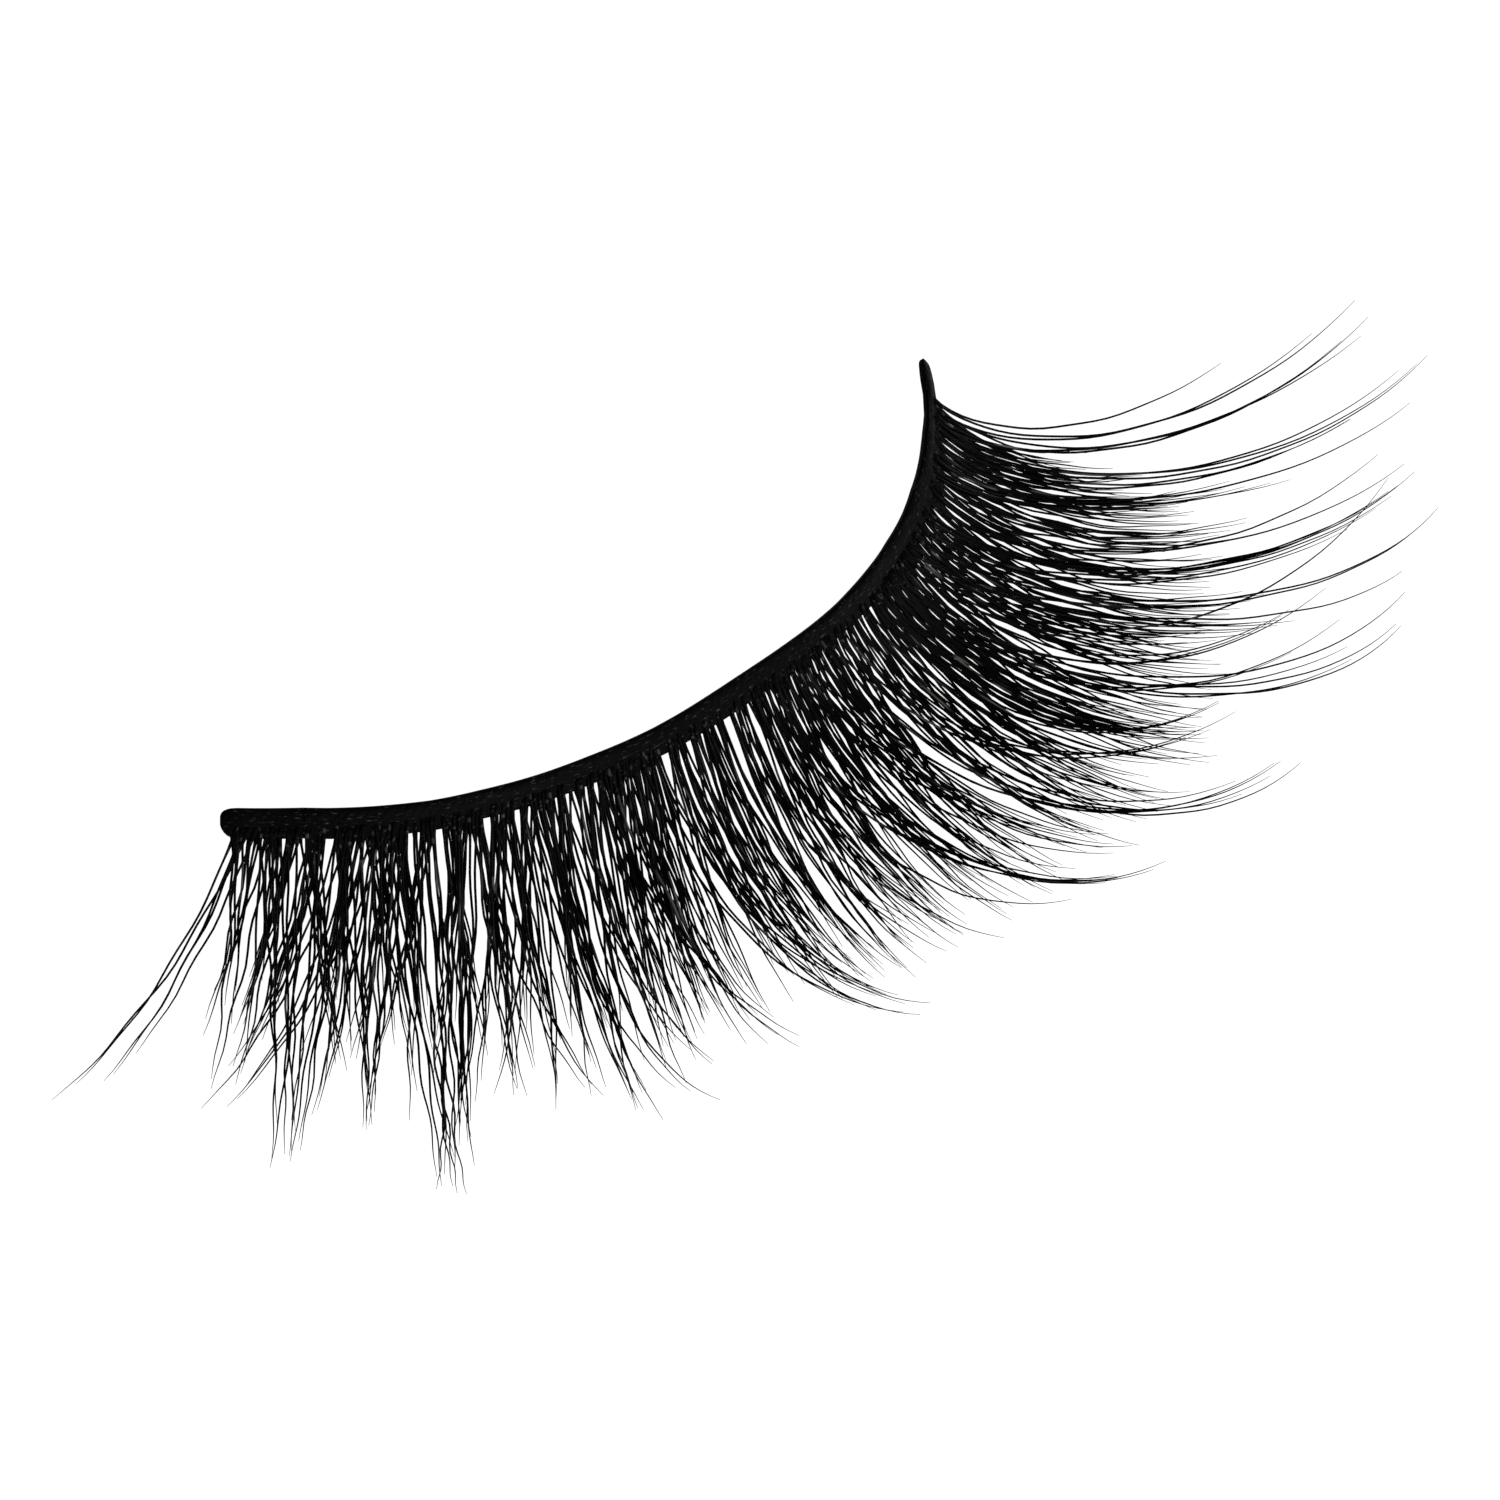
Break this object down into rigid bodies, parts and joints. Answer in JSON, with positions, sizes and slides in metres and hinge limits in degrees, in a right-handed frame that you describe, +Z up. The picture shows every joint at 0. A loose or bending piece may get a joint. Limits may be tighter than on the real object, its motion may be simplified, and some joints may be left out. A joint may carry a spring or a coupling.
{
  "type": "false eyelash strip",
  "caption": "Strip of black false eyelashes: a thin curved band worn along the upper eyelid, with a short row and a long wispy row of curled lashes.",
  "frame": {"origin": "centre of the bounding box seen from above, on the surface that the strip lies on", "axes": "+X along the band from the inner to the outer corner of the eye, -Y the way the lashes point, +Z up, the way the lashes curl"},
  "size_m": [0.053, 0.0214, 0.0058],
  "materials": {
    "coated_thread": "cotton thread coated black, satin",
    "lash_fibre": "fine black polyester fibre with a soft sheen"
  },
  "bodies": {
    "root": {"lash_band": "coated_thread", "short_lashes": "lash_fibre", "long_lashes": "lash_fibre"}
  },
  "joints": []
}
